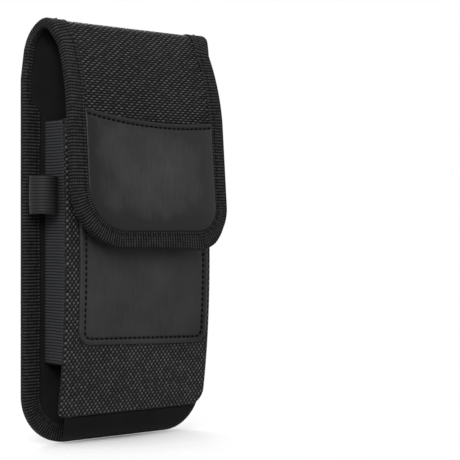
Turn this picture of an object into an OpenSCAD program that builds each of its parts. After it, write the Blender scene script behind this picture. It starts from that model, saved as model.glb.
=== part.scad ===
/* [Folded strip] */
// Height from the bottom edge to the crest of the fold
strip_h = 187.4; // [182:0.2:196]
// Width of the back panel over its binding
back_w = 101; // [96:1:108]
// Inset of the fold's crest from the back panel's edge, on each side
crest_inset = 5.2; // [4:0.1:7]
// Inset of the back panel's shoulder, between its taper and the crest
shoulder_inset = 1.7; // [0.5:0.1:3]
// Depth of the shoulder below the crest
shoulder_drop = 13; // [9:0.5:18]
// Inset of the flap from the back panel's edge, on each side
flap_inset = 7.1; // [5:0.1:8]
// Inset of the flap's narrowest place, in front of the crest
waist_inset = 8.3; // [7:0.1:10]
// Depth of that place below the crest
waist_drop = 10.4; // [7:0.2:16]
// Depth of the flap's lower edge below the crest of the fold
flap_drop = 100.5; // [92:0.1:106]
// Lean of the flap out from the vertical, in degrees
flap_lean = 4.5; // [3:0.5:6]
// Room under the flap at the pocket's mouth
flap_room = 2.9; // [1.5:0.1:4]
// Height above the pocket's mouth at which the flap starts to curve over
bend_rise = 2; // [0:0.5:6]
// Radius of the fold behind its crest
fold_back_r = 10; // [8:0.5:11]
// Radius of the fold in front of its crest
fold_front_r = 7.1; // [5.5:0.1:9]
// Radius of the back panel's lower corners
back_corner_r = 22; // [16:1:28]
// Radius of the flap's lower corner on the pen side
flap_corner_pen = 27; // [20:1:30]
// Radius of the flap's other lower corner
flap_corner_plain = 19; // [14:1:28]
// Height below the crest at which the back panel starts to narrow
taper_drop = 26; // [20:0.5:45]

/* [Layers] */
// Thickness of the woven nylon
nylon_t = 0.8; // [0.6:0.1:1.2]
// Thickness of the stiffening board in the strip
board_t = 2; // [1.6:0.1:2.6]
// Thickness of the strip's lining
lining_t = 0.8; // [0.6:0.1:1.2]
// Visible width of the ribbed binding tape
binding_w = 8; // [6:0.5:8.5]
// Visible width of the tape inside the fold, where the lining lies over it
fold_tape_w = 3; // [2:0.5:5]
// Height above the pocket's mouth at which the lining starts to cover the tape
cover_rise = 5; // [2:1:12]
// Thickness of the binding tape
binding_t = 0.7; // [0.5:0.1:1]
// Thickness of the leather patches
leather_t = 0.9; // [0.6:0.1:1.1]

/* [Front pocket] */
// Clear depth of the pocket at its widest
pocket_depth = 15.1; // [13:0.1:19]
// Inset of the front panel from the back panel's edge, on each side
front_inset = 9.8; // [9:0.1:11]
// Height of the front panel's lower edge
front_z = 12.8; // [11:0.2:20]
// Depth of the pocket's mouth below the crest of the fold
mouth_drop = 44.4; // [38:0.2:56]
// Radius of the front panel's lower corner on the pen side
front_corner_pen = 3; // [2:0.5:8]
// Radius of the front panel's other lower corner
front_corner_plain = 7.5; // [5:0.5:12]
// Height at which the front panel bulges most
bow_z = 80; // [60:1:95]
// Radius of the panel's bow below that height
bow_low_r = 400; // [350:10:800]
// Radius of the panel's bow above that height
bow_high_r = 1300; // [900:50:2400]
// Thickness of the front panel's board
front_board_t = 1.2; // [0.8:0.1:1.6]
// Thickness of the front panel's lining
front_lining_t = 0.6; // [0.4:0.1:0.8]
// Depth of the hem tape at the mouth
hem_w = 7; // [5:0.5:9]
// Thickness of the hem tape
hem_t = 0.6; // [0.4:0.1:0.8]

/* [Gussets] */
// Thickness of the elastic side gussets
gusset_t = 1.2; // [0.8:0.1:1.6]
// Height at which the side gussets start
gusset_z = 36; // [30:1:50]
// Inset of the side gussets from the front panel's edge
gusset_inset = 0.5; // [0.2:0.1:1.5]
// Half width of the bottom gusset
bottom_half_w = 34; // [28:1:35]
// Thickness of the bottom gusset
bottom_t = 1.2; // [0.8:0.1:1.6]
// Height at which the bottom gusset meets the back panel
bottom_back_z = 1.2; // [1:0.2:4]

/* [Pen loop] */
// Inner radius of the pen loop
pen_r = 5.2; // [4:0.1:6]
// Thickness of the pen loop's elastic
pen_loop_t = 0.8; // [0.6:0.1:1.2]
// Height of the pen loop's band
pen_loop_h = 16.5; // [12:0.5:22]
// Depth of the pen loop's lower edge below the pocket's mouth
pen_loop_drop = 41; // [30:1:52]
// Distance of the pen loop's centre in front of the back face
pen_loop_y = 11.5; // [10:0.5:13]

/* [Leather patches] */
// Width of the front leather patch
front_patch_w = 73; // [60:1:74]
// Shift of the front leather patch away from the pen side
front_patch_x = 1.6; // [0:0.1:2]
// Height of the front leather patch's lower edge
front_patch_z = 43.6; // [36:0.2:60]
// Depth of the front leather patch's upper edge below the pocket's mouth
front_patch_drop = 15; // [12:1:28]
// Radius of the front leather patch's lower corners
front_patch_r = 6.5; // [4:0.5:12]
// Lowest height of the flap patch's upper edge above the pocket's mouth
flap_patch_rise = 0.5; // [-10:0.5:6]
// Radius of the sag of that edge
flap_patch_sag_r = 230; // [160:5:400]
// Sideways place of the lowest point of that edge
flap_patch_sag_x = 11; // [0:1:15]

/* [Closure] */
// Radius of the closure magnets
magnet_r = 6; // [4:0.5:8]
// Depth of the magnets below the pocket's mouth
magnet_drop = 31; // [22:1:38]

/* [Belt loop] */
// Width of the belt loop strap
loop_w = 37; // [34:1:44]
// Length of the belt loop from its lower edge to its upper edge
loop_h = 74; // [71:0.5:80]
// Depth of the belt loop's upper edge below the crest of the fold
loop_drop = 45.4; // [40:0.2:48]
// Height of each sewn end of the belt loop
loop_sewn_h = 7.5; // [5:0.5:8]
// Gap between the belt loop and the back panel
loop_gap = 0.8; // [0.8:0.1:2]
// Thickness of the belt loop's sewn ends
loop_sewn_t = 1.8; // [1.8:0.1:2.4]
// Thickness of the belt loop's under layer
loop_under_t = 0.5; // [0.4:0.1:1]

/* [Belt clip] */
// Width of the belt clip
clip_w = 26.7; // [24:0.1:30]
// Thickness of the clip's spring steel
clip_t = 1.2; // [1:0.1:1.5]
// Clear gap between the belt loop and the clip's arms
clip_gap = 5.4; // [5.4:0.1:9]
// Width of the slot between the arms
clip_slot_w = 11.2; // [10:0.2:13]
// Depth of the underside of the clip's top below the belt loop's upper edge
clip_drop = 10.5; // [10:0.5:14]
// Length of the slot between the arms
clip_slot_l = 36.9; // [33:0.1:39]
// Length of the arms down to the tongue's inward bend
clip_arm_l = 40.5; // [39:0.5:43]
// Angle of the tongue's inward bend
clip_in_angle = 34; // [30:1:40]
// Angle of the lip's outward bend
clip_lip_angle = 17; // [10:1:25]
// Length of the lip
clip_lip_l = 6.5; // [5:0.5:8]
// Length of the plate inside the belt loop
clip_plate_l = 43.5; // [40:0.5:47]

/* [Rivets] */
// Radius of the rivets' domed heads
rivet_head_r = 3.8; // [3:0.1:4.5]
// Height of the rivets' heads
rivet_head_h = 1; // [0.8:0.1:1.1]
// Radius of the rivets' shanks
rivet_shank_r = 1.5; // [1:0.1:2]
// Depth of the upper rivet below the clip's top
rivet_drop = 14.5; // [12:0.5:18]
// Distance between the two rivets
rivet_pitch = 13; // [10:0.5:15]
// Radius of the washers
washer_r = 4; // [3.5:0.1:5]
// Thickness of the washers
washer_t = 0.5; // [0.4:0.1:0.6]

/* [Tab and ring] */
// Width of the webbing tab
tab_w = 4.6; // [4:0.2:4.8]
// Thickness of the tab's webbing
tab_t = 0.6; // [0.5:0.05:0.65]
// Inner radius of the tab's eye
tab_eye_r = 1.7; // [1.6:0.1:1.9]
// Height of the tab's eye above the belt loop
tab_rise = 2.8; // [2.8:0.1:4]
// Mean radius of the ring
ring_r = 7; // [7:0.1:8]
// Radius of the ring's wire
ring_wire_r = 0.8; // [0.6:0.05:0.8]
// Rise of the ring out of the horizontal, in degrees
ring_rise = 24; // [22:1:26]
// Roll of the ring, in degrees
ring_roll = 12; // [11:1:14]

/* [Carabiner] */
// Width and depth of the carabiner's bar
bar_w = 3; // [2.6:0.1:3]
// Radius of the bar's rounded edges
bar_edge_r = 1; // [0.6:0.1:1.1]
// Half of the spine's length on the wide side
spine_wide = 16.3; // [14:0.1:20]
// Half of the spine's length on the narrow side
spine_narrow = 19.1; // [17:0.1:24]
// Mean radius of the wide end's lower corner
wide_low_r = 4.1; // [3.5:0.1:5]
// Mean radius of the wide end's upper corner
wide_high_r = 10.2; // [9:0.1:11]
// Distance from the ring to the centre of that corner along the spine
wide_high_x = 8.6; // [8:0.1:10]
// Distance from the spine to the centre of that corner
wide_high_y = 7.9; // [7:0.1:9]
// Mean radius of the narrow end
narrow_r = 5.9; // [5:0.1:6.5]
// Slope of the spine, in degrees
spine_slope = 18.6; // [16:0.2:22]
// Lean of the carabiner against the back panel, in degrees
carabiner_lean = 11.8; // [11:0.1:12]

/* [Gate] */
// Radius of the gate's barrel
gate_r = 1.9; // [1.7:0.1:2]
// Radius of the gate's pin
pin_r = 0.6; // [0.5:0.05:0.7]
// Running clearance of the gate on its pin
pin_clear = 0.05; // [0.02:0.01:0.08]
// Thickness of the bar's tongues inside the gate
tongue_t = 1.2; // [1:0.1:1.4]
// Gap between the gate and the bar at each end
gate_gap = 0.3; // [0.25:0.05:0.5]
// Straight stub of the bar before the hinge
hinge_stub = 2; // [1.5:0.1:2.5]
// Straight stub of the bar before the gate's free end
nose_stub = 1; // [0.8:0.1:1.5]

/* [Hidden] */
$fn = 64;

// Reach of the cutting shapes past the solids
past = 1;
low_z = -20;
strip_t = nylon_t + board_t + lining_t;
front_t = nylon_t + front_board_t + front_lining_t;
crest_w = back_w - 2 * crest_inset;
flap_w = back_w - 2 * flap_inset;
front_w = back_w - 2 * front_inset;
mouth_z = strip_h - mouth_drop;
flap_z = strip_h - flap_drop;
front_patch_top = mouth_z - front_patch_drop;
flap_patch_z = mouth_z + flap_patch_rise;
magnet_z = mouth_z - magnet_drop;
pen_loop_z = mouth_z - pen_loop_drop;
loop_top = strip_h - loop_drop;
loop_z = loop_top - loop_h;
clip_top_z = loop_top - clip_drop;
clip_slot_z = clip_top_z - clip_slot_l;
clip_bend_z = clip_top_z - clip_arm_l;
clip_plate_z = clip_top_z - clip_plate_l;
rivet_high_z = clip_top_z - rivet_drop;
rivet_low_z = rivet_high_z - rivet_pitch;
front_depth = strip_t + binding_t + pocket_depth + front_t;
mouth_depth = front_depth - (mouth_z - bow_z) * (mouth_z - bow_z) / (2 * bow_high_r);
flap_reach = mouth_depth + hem_t + flap_room + binding_t + strip_t;
// Height of the straight piece of the sides at the crest
crest_straight = 1;
bend_z = mouth_z + bend_rise;
bend_y = -flap_reach + bend_rise * tan(flap_lean);
taper_z = strip_h - taper_drop;
// Centre of the front curve at the crest, and of the wide curve from there down to the flap
crest_c = [-fold_back_r, strip_h - fold_front_r];
bend_out = [bend_y, bend_z] - crest_c;
bend_in = [cos(flap_lean), -sin(flap_lean)];
fold_bow_r = (bend_out * bend_out - fold_front_r * fold_front_r)
    / (-2 * (bend_out * bend_in + fold_front_r));
fold_c = [bend_y, bend_z] + fold_bow_r * bend_in;
fold_lean = atan2(crest_c[1] - fold_c[1], fold_c[0] - crest_c[0]);
// Furthest that the flap reaches out in front, for the cutting shapes
flap_far = 60;
fine_fn = 1440;

function flap_y(z) = bend_y - (bend_z - z) * tan(flap_lean);

gusset_x = front_w / 2 - gusset_inset;
magnet_play = 0.05;
pen_x = gusset_x + pen_r + pen_loop_t;

// The belt loop's layers, from the back panel outwards
plate_y = loop_gap + loop_under_t + 0.05;
plate_face_y = plate_y + clip_t;
loop_face_y = plate_face_y + 0.05 + nylon_t;
arm_y = loop_face_y + clip_gap;
plate_bend_r = 1;
arm_bend_r = 1.5;
tongue_bend_r = 2;
ridge_bend_r = 1;
ridge_gap = 0.1;
slit_h = 1.9;
loop_slope = 0.8;
play = 0.05;

// The tab's eye, which the ring and the carabiner hang from
eye_y = tab_eye_r + tab_t + 0.1;
eye_z = loop_top + tab_rise;
ring_offset = 0.22;
// Distance of the spine from the tab's eye, along the ring
spine_out = tab_eye_r + tab_t + bar_w / 2 + 0.35;

// Corners of the carabiner's centre line, in its own plane with the spine along x
wide_low = [spine_wide, wide_low_r];
wide_high = [wide_high_x, wide_high_y];
narrow = [-spine_narrow, narrow_r];
// Angle of the outward normal of the straight from one corner to the next
function straight_normal(a, ra, b, rb) =
    (atan2(b[1] - a[1], b[0] - a[0]) - acos((ra - rb) / norm(b - a)) + 450) % 360 - 90;
side_normal = straight_normal(wide_low, wide_low_r, wide_high, wide_high_r);
gate_normal = straight_normal(wide_high, wide_high_r, narrow, narrow_r);
function on_corner(c, r, a) = c + r * [cos(a), sin(a)];
gate_from = on_corner(narrow, narrow_r, gate_normal);
gate_to = on_corner(wide_high, wide_high_r, gate_normal);
gate_span = norm(gate_to - gate_from);
gate_angle = atan2(gate_to[1] - gate_from[1], gate_to[0] - gate_from[0]);
pin_at = hinge_stub + gate_gap + gate_r;
gate_l = gate_span - nose_stub - gate_gap - pin_at;
tongue_r = gate_r - 0.5;
tongue_h = 2 * tongue_r - 0.4;
slot_t = tongue_t + 0.3;
spring_r = 0.75;
spring_l = 6;

strip_color = [0.13, 0.13, 0.14];
lining_color = [0.08, 0.08, 0.09];
binding_color = [0.1, 0.1, 0.11];
leather_color = [0.17, 0.17, 0.18];
steel_color = [0.75, 0.75, 0.77];

// A side profile drawn as [y, z], made w wide along x
module across(w) {
    rotate([90, 0, 90]) linear_extrude(w, center = true) children();
}

// A front outline drawn as [x, z], made solid from y0 to y1
module through(y0, y1) {
    translate([0, y1, 0]) rotate([90, 0, 0]) linear_extrude(y1 - y0) children();
}

// Side profile of all that lies inside the fold, t in from its outer face
module fold_inside(t) {
    bend = fold_c - (fold_bow_r - t) * bend_in;
    tip = crest_c + (fold_front_r + past) * [-cos(fold_lean), sin(fold_lean)];
    translate([-fold_back_r, low_z]) square([fold_back_r - t, strip_h - fold_back_r - low_z]);
    intersection() {
        translate([-fold_back_r, strip_h - fold_back_r]) circle(fold_back_r - t);
        translate([-fold_back_r, strip_h - fold_back_r]) square(fold_back_r + past);
    }
    intersection() {
        translate(crest_c) circle(fold_front_r - t);
        translate([crest_c[0] - fold_front_r - past, crest_c[1]]) square(fold_front_r + past);
    }
    intersection() {
        translate(fold_c) circle(fold_bow_r - t, $fn = fine_fn);
        polygon([crest_c, tip, [-flap_far, tip[1]], [-flap_far, bend[1]],
            [-fold_back_r, bend[1]]]);
    }
    polygon([[-fold_back_r, low_z], [-fold_back_r, bend[1]], bend,
        [bend[0] - (bend[1] - low_z) * tan(flap_lean), low_z]]);
}

// Back panel as seen from behind, with its edge set in by e
module back_outline(e) {
    side = back_w / 2;
    crest = crest_w / 2;
    for (s = [-1, 1]) translate([s * (side - back_corner_r), back_corner_r])
        circle(back_corner_r - e);
    translate([-(side - back_corner_r), e]) square([2 * (side - back_corner_r), back_corner_r]);
    shoulder = side - shoulder_inset;
    shoulder_z = strip_h - shoulder_drop;
    polygon([[-side + e, back_corner_r], [side - e, back_corner_r], [side - e, taper_z],
        [shoulder - e, shoulder_z], [crest - e, strip_h - crest_straight],
        [crest - e, strip_h + past], [-crest + e, strip_h + past],
        [-crest + e, strip_h - crest_straight], [-shoulder + e, shoulder_z],
        [-side + e, taper_z]]);
}

// Flap as seen from the front, with its edge set in by e
module flap_outline(e) {
    side = flap_w / 2;
    crest = crest_w / 2;
    waist = back_w / 2 - waist_inset;
    waist_z = strip_h - waist_drop;
    pen = flap_corner_pen;
    plain = flap_corner_plain;
    translate([-side + pen, flap_z + pen]) circle(pen - e);
    translate([side - plain, flap_z + plain]) circle(plain - e);
    polygon([[-side + pen, flap_z + e], [side - plain, flap_z + e],
        [side - plain, flap_z + plain], [side - e, flap_z + plain], [side - e, bend_z],
        [waist - e, waist_z], [crest - e, strip_h - crest_straight],
        [crest - e, strip_h + past], [-crest + e, strip_h + past],
        [-crest + e, strip_h - crest_straight], [-waist + e, waist_z],
        [-side + e, bend_z], [-side + e, flap_z + pen], [-side + pen, flap_z + pen]]);
}

// Outlines of back panel and flap, joined at the crest
module both_outlines(e) {
    through(-fold_back_r, 2 * past) back_outline(e);
    through(-flap_far, -fold_back_r) flap_outline(e);
}

// One layer of the folded strip, from t0 to t1 below its outer face
module strip_layer(t0, t1, e) {
    intersection() {
        across(back_w + 2 * past) difference() {
            fold_inside(t0);
            fold_inside(t1);
        }
        both_outlines(e);
    }
}

// Side profile of all that lies behind the front panel's face, t in from it
module front_inside(t) {
    intersection() {
        translate([bow_low_r - front_depth, bow_z]) circle(bow_low_r - t, $fn = fine_fn);
        translate([-2 * front_depth, low_z]) square([2 * front_depth, bow_z - low_z]);
    }
    intersection() {
        translate([bow_high_r - front_depth, bow_z]) circle(bow_high_r - t, $fn = fine_fn);
        translate([-2 * front_depth, bow_z]) square([2 * front_depth, strip_h - bow_z]);
    }
}

// Front panel as seen from the front
module front_outline() {
    side = front_w / 2;
    pen = front_corner_pen;
    plain = front_corner_plain;
    translate([-side + pen, front_z + pen]) circle(pen);
    translate([side - plain, front_z + plain]) circle(plain);
    polygon([[-side + pen, front_z], [side - plain, front_z], [side - plain, front_z + plain],
        [side, front_z + plain], [side, mouth_z], [-side, mouth_z], [-side, front_z + pen],
        [-side + pen, front_z + pen]]);
}

// One layer of the front panel within the outline given as child
module front_layer(t0, t1) {
    intersection() {
        across(front_w + 2 * past) difference() {
            front_inside(t0);
            front_inside(t1);
        }
        through(-flap_far, 0) children();
    }
}

// A disc of radius r set into the flap's board
module flap_disc(r, t) {
    translate([0, flap_y(magnet_z), magnet_z]) rotate([-90 - flap_lean, 0, 0])
        translate([0, 0, nylon_t + (board_t - t) / 2]) cylinder(h = t, r = r);
}

// A disc of radius r set into the front panel's board
module front_disc(r, t) {
    slope = asin((magnet_z - bow_z) / bow_high_r);
    face_y = bow_high_r * (1 - cos(slope)) - front_depth;
    translate([0, face_y, magnet_z]) rotate([-90 - slope, 0, 0])
        translate([0, 0, nylon_t + (front_board_t - t) / 2]) cylinder(h = t, r = r);
}

module outer_shell() {
    color(strip_color) strip_layer(0, nylon_t, binding_t);
}

module stiffener_board() {
    color("dimgray") difference() {
        strip_layer(nylon_t, nylon_t + board_t, binding_t);
        flap_disc(magnet_r + magnet_play, board_t + 0.4);
    }
}

module inner_lining() {
    color(lining_color) strip_layer(nylon_t + board_t, strip_t, binding_t);
}

// Tape folded round the whole edge of the strip
module edge_binding() {
    color(binding_color) difference() {
        strip_layer(-binding_t, strip_t + binding_t, 0);
        strip_layer(0, strip_t, binding_t);
        both_outlines(binding_w);
        // Under the lining inside the fold
        intersection() {
            strip_layer(strip_t, strip_t + binding_t + past, fold_tape_w);
            translate([-back_w, -flap_far, mouth_z + cover_rise])
                cube([2 * back_w, flap_far, strip_h]);
        }
    }
}

module flap_leather_patch() {
    color(leather_color) difference() {
        intersection() {
            across(flap_w) difference() {
                fold_inside(-leather_t);
                fold_inside(0);
            }
            through(-flap_far, -fold_back_r - leather_t) flap_outline(binding_w);
        }
        translate([flap_patch_sag_x, 0, flap_patch_z + flap_patch_sag_r]) rotate([90, 0, 0])
            cylinder(h = flap_far, r = flap_patch_sag_r, $fn = fine_fn);
    }
}

module front_panel() {
    color(strip_color) front_layer(0, nylon_t) front_outline();
}

module front_board() {
    color("dimgray") difference() {
        front_layer(nylon_t, nylon_t + front_board_t) front_outline();
        front_disc(magnet_r + magnet_play, front_board_t + 0.2);
    }
}

module front_lining() {
    color(lining_color) front_layer(nylon_t + front_board_t, front_t) front_outline();
}

// Tape folded over the top edge of the front panel
module mouth_hem() {
    color(binding_color) difference() {
        front_layer(-hem_t, front_t + hem_t)
            translate([-front_w / 2, mouth_z - hem_w]) square([front_w, hem_w + hem_t]);
        front_layer(0, front_t) front_outline();
    }
}

module front_leather_patch() {
    side = front_patch_w / 2;
    r = front_patch_r;
    color(leather_color) front_layer(-leather_t, 0) translate([front_patch_x, 0]) {
        for (s = [-1, 1]) translate([s * (side - r), front_patch_z + r]) circle(r);
        translate([-(side - r), front_patch_z]) square([2 * (side - r), r]);
        translate([-side, front_patch_z + r])
            square([2 * side, front_patch_top - front_patch_z - r]);
    }
}

// Elastic wall that joins the front panel to the back panel on one side
module side_gusset(s) {
    color([0.11, 0.11, 0.13]) difference() {
        translate([s * (gusset_x - gusset_t / 2), 0, 0]) across(gusset_t) intersection() {
            front_inside(front_t);
            translate([-front_depth, gusset_z])
                square([front_depth - strip_t, mouth_z - gusset_z]);
        }
        front_layer(front_t, front_t + hem_t)
            translate([-front_w / 2, mouth_z - hem_w]) square([front_w, hem_w + hem_t]);
        // Where the edge binding lies under it
        through(-strip_t - binding_t, 0) difference() {
            back_outline(-past);
            back_outline(binding_w);
        }
    }
}

// Strip that closes the bottom from the front panel down to the back panel
module bottom_gusset() {
    back_y = -strip_t - binding_t;
    front_y = -front_depth;
    rise = (front_z - bottom_back_z) * 1.25;
    color(lining_color) across(2 * bottom_half_w) intersection() {
        front_inside(front_t);
        polygon([[back_y, bottom_back_z], [back_y, bottom_back_z + 1.4 * bottom_t],
            [front_y, bottom_back_z + rise + 1.4 * bottom_t], [front_y, bottom_back_z + rise]]);
    }
}

// Band of elastic sewn to the side gusset, open at top and bottom
module pen_loop() {
    r = pen_r + pen_loop_t;
    color([0.1, 0.1, 0.12]) difference() {
        union() {
            translate([-pen_x, -pen_loop_y, pen_loop_z]) cylinder(h = pen_loop_h, r = r);
            translate([-pen_x + pen_r, -pen_loop_y - r / 2, pen_loop_z])
                cube([pen_loop_t, r, pen_loop_h]);
        }
        translate([-pen_x, -pen_loop_y, pen_loop_z - past])
            cylinder(h = pen_loop_h + 2 * past, r = pen_r);
    }
}

module flap_magnet() {
    color(steel_color) flap_disc(magnet_r, board_t - 0.1);
}

module front_magnet() {
    color(steel_color) front_disc(magnet_r, front_board_t - 0.1);
}

// Places of the two rivets
module at_rivets() {
    for (z = [rivet_low_z, rivet_high_z]) translate([0, 0, z]) rotate([-90, 0, 0]) children();
}

// Slot between the clip's arms, with a round lower end
module clip_slot_outline() {
    r = clip_slot_w / 2;
    translate([0, clip_slot_z + r]) circle(r);
    translate([-r, clip_slot_z + r]) square([clip_slot_w, clip_top_z + 4 * clip_t - clip_slot_z - r]);
}

// Strap sewn at its two ends, with the clip's plate between its layers
module belt_loop() {
    arm_w = (clip_w - clip_slot_w) / 2 + 2 * play;
    color(strip_color) difference() {
        across(loop_w) polygon([[0, loop_z], [loop_sewn_t, loop_z],
            [loop_sewn_t, loop_z + loop_sewn_h - loop_slope],
            [loop_face_y, loop_z + loop_sewn_h + loop_slope],
            [loop_face_y, clip_top_z + slit_h + 0.3],
            [loop_sewn_t, clip_top_z + slit_h + 0.3 + 2 * loop_slope],
            [loop_sewn_t, loop_top], [0, loop_top]]);
        // Way through for a belt
        translate([-loop_w / 2 - past, -past, loop_z + loop_sewn_h])
            cube([loop_w + 2 * past, loop_gap + past, loop_top - loop_z - 2 * loop_sewn_h]);
        // Pocket of the clip's plate
        translate([-clip_w / 2 - play, plate_y - play, clip_plate_z - play])
            cube([clip_w + 2 * play, clip_t + 2 * play,
                clip_top_z + clip_t + 2 * play - clip_plate_z]);
        // Slits for the clip's two arms
        for (s = [-1, 1]) translate([s * (clip_w + clip_slot_w) / 4, 0, 0])
            translate([-arm_w / 2, plate_face_y - past / 2, clip_top_z - plate_bend_r - 0.4])
                cube([arm_w, nylon_t + 2 * past, plate_bend_r + 0.4 + slit_h]);
        at_rivets() cylinder(h = loop_face_y + past, r = rivet_shank_r + play);
        // Seat of the tab's folded end
        translate([-tab_w / 2 - play, -past, loop_top - loop_sewn_h + play])
            cube([tab_w + 2 * play, 2 * tab_t + play + past, loop_sewn_h + past]);
    }
}

// Unit vector at angle a
function unit(a) = [cos(a), sin(a)];
bend_steps = 10;

// One side of a bent sheet, s above its lower face: each step is a length, a turn and its inner
// radius, starting from point p in direction a
function sheet_side(steps, t, s, i = 0, p = [0, 0], a = 0) = i == len(steps)
    ? []
    : let (l = steps[i][0])
        let (turn = steps[i][1])
        let (r = steps[i][2])
        let (end = p + l * unit(a))
        let (side = turn < 0 ? 1 : -1)
        let (c = turn < 0 ? end - r * unit(a + 90) : end + (r + t) * unit(a + 90))
        let (bend_r = turn < 0 ? r + s : r + t - s)
        concat([p + s * unit(a + 90), end + s * unit(a + 90)],
            turn == 0 ? [] : [for (k = [1 : bend_steps - 1])
                c + side * bend_r * unit(a + 90 + turn * k / bend_steps)],
            sheet_side(steps, t, s, i + 1,
                turn < 0 ? c + r * unit(a + 90 + turn) : c - (r + t) * unit(a + 90 + turn), a + turn));

function backwards(points) = [for (i = [len(points) - 1 : -1 : 0]) points[i]];

// Side profile of a bent sheet
module bent_sheet(steps, t) {
    polygon(concat(sheet_side(steps, t, 0), backwards(sheet_side(steps, t, t))));
}

// One strip of spring steel: plate, two arms, tongue and lip
module belt_clip() {
    reach_in = arm_y - loop_face_y - ridge_gap;
    bends = (tongue_bend_r + ridge_bend_r + clip_t) * (1 - cos(clip_in_angle));
    steps = [
        [clip_top_z - plate_bend_r - clip_plate_z, -90, plate_bend_r],
        [arm_y - arm_bend_r - plate_face_y - plate_bend_r, -90, arm_bend_r],
        [clip_top_z - arm_bend_r - clip_bend_z, -clip_in_angle, tongue_bend_r],
        [(reach_in - bends) / sin(clip_in_angle), clip_in_angle + clip_lip_angle, ridge_bend_r],
        [clip_lip_l, 0, 0]];
    lip_r = 2.5;
    color([0.09, 0.09, 0.1]) difference() {
        intersection() {
            across(clip_w) translate([plate_face_y, clip_plate_z]) rotate(90)
                bent_sheet(steps, clip_t);
            through(0, arm_y + 2 * clip_t) clip_outline(lip_r);
        }
        // Slot through the arms and the clip's top
        through(loop_face_y + play, arm_y + 2 * clip_t) clip_slot_outline();
        translate([-clip_slot_w / 2, 0, clip_top_z - plate_bend_r])
            cube([clip_slot_w, arm_y, 4 * clip_t]);
        at_rivets() cylinder(h = loop_face_y, r = rivet_shank_r + play);
    }
}

// Outline of the clip with rounded corners at its lip
module clip_outline(r) {
    foot_z = loop_z + past;
    lip_z = lip_end_z();
    for (s = [-1, 1]) translate([s * (clip_w / 2 - r), lip_z + r]) circle(r);
    translate([-clip_w / 2 + r, lip_z]) square([clip_w - 2 * r, r]);
    translate([-clip_w / 2, lip_z + r]) square([clip_w, clip_top_z + 2 * clip_t - lip_z - r]);
}

// Height of the lip's end, from the lengths and bends above it
function lip_end_z() =
    let (bends = (tongue_bend_r + ridge_bend_r + clip_t) * (1 - cos(clip_in_angle)))
    let (slant = (clip_gap - ridge_gap - bends) / sin(clip_in_angle))
    clip_bend_z - (tongue_bend_r + ridge_bend_r + clip_t) * sin(clip_in_angle)
        - slant * cos(clip_in_angle) - (ridge_bend_r + clip_t) * sin(clip_lip_angle)
        - clip_lip_l * cos(clip_lip_angle);

module clip_rivets() {
    cap_r = (rivet_head_r * rivet_head_r + rivet_head_h * rivet_head_h) / (2 * rivet_head_h);
    color([0.16, 0.16, 0.17]) at_rivets() {
        translate([0, 0, loop_gap - washer_t]) cylinder(h = loop_face_y + washer_t - loop_gap,
            r = rivet_shank_r);
        translate([0, 0, loop_face_y]) intersection() {
            translate([0, 0, rivet_head_h - cap_r]) sphere(cap_r, $fn = 128);
            cylinder(h = rivet_head_h + past, r = rivet_head_r + past);
            translate([0, 0, 0]) cylinder(h = 2 * rivet_head_h, r = rivet_head_r);
        }
    }
}

module rivet_washers() {
    color(steel_color) at_rivets() translate([0, 0, loop_gap - washer_t]) difference() {
        cylinder(h = washer_t, r = washer_r);
        translate([0, 0, -past]) cylinder(h = washer_t + 2 * past, r = rivet_shank_r + play);
    }
}

// Webbing folded round the ring, with both ends sewn under the belt loop
module ring_tab() {
    color(binding_color) difference() {
        union() {
            translate([-tab_w / 2, eye_y, eye_z]) rotate([0, 90, 0])
                cylinder(h = tab_w, r = tab_eye_r + tab_t);
            translate([-tab_w / 2, eye_y - tab_eye_r - tab_t, loop_top - loop_sewn_h + 2 * play])
                cube([tab_w, 2 * tab_t - 0.1, eye_z - loop_top + loop_sewn_h - 2 * play]);
        }
        translate([-tab_w / 2 - past, eye_y, eye_z]) rotate([0, 90, 0])
            cylinder(h = tab_w + 2 * past, r = tab_eye_r);
    }
}

// Frame whose y axis runs from the tab's eye out along the ring
module at_ring() {
    translate([0, eye_y, eye_z]) rotate([0, -ring_roll, 0]) rotate([ring_rise, 0, 0]) children();
}

module tab_ring() {
    color(steel_color) at_ring() translate([0, ring_r - ring_offset, 0])
        rotate_extrude($fn = 96) translate([ring_r, 0]) circle(ring_wire_r, $fn = 32);
}

// Point of the spine inside the ring
spine_at = [-spine_out * sin(ring_rise) * sin(ring_roll), eye_y + spine_out * cos(ring_rise),
    eye_z + spine_out * sin(ring_rise) * cos(ring_roll)];

// Frame of the carabiner's plane: x along the spine, y towards the gate
module at_carabiner() {
    translate(spine_at) rotate([carabiner_lean, 0, 0]) rotate([90, 0, 0])
        rotate([0, 0, -spine_slope]) children();
}

// Section of the bar, a square with rounded edges, set in by e
module bar_section(e = 0) {
    polygon([for (q = [0 : 3], k = [0 : 3])
        (bar_w / 2 - bar_edge_r) * [sign(cos(45 + 90 * q)), sign(sin(45 + 90 * q))]
            + (bar_edge_r - e) * [cos(90 * q + 30 * k), sin(90 * q + 30 * k)]]);
}

// Length and set-in of a straight stretch where it runs into a bend
lap = 0.3;
lap_in = 0.02;

// Straight stretch of bar from point a to point b, with its ends inside the bends
module bar_straight(a, b) {
    translate([a[0], a[1], 0]) rotate([0, 0, atan2(b[1] - a[1], b[0] - a[0])])
        translate([-lap, 0, 0]) rotate([90, 0, 90]) linear_extrude(norm(b - a) + 2 * lap)
            bar_section(lap_in);
}

// Bent stretch of bar round centre c from angle a0 to a1
module bar_bend(c, r, a0, a1) {
    translate([c[0], c[1], 0]) rotate([0, 0, a0])
        rotate_extrude(angle = a1 - a0, $fn = 96) translate([r, 0]) bar_section();
}

// Frame at the gate's pin, x along the gate to its free end
module at_gate() {
    translate([gate_from[0], gate_from[1], 0]) rotate([0, 0, gate_angle])
        translate([pin_at, 0, 0]) children();
}

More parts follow.
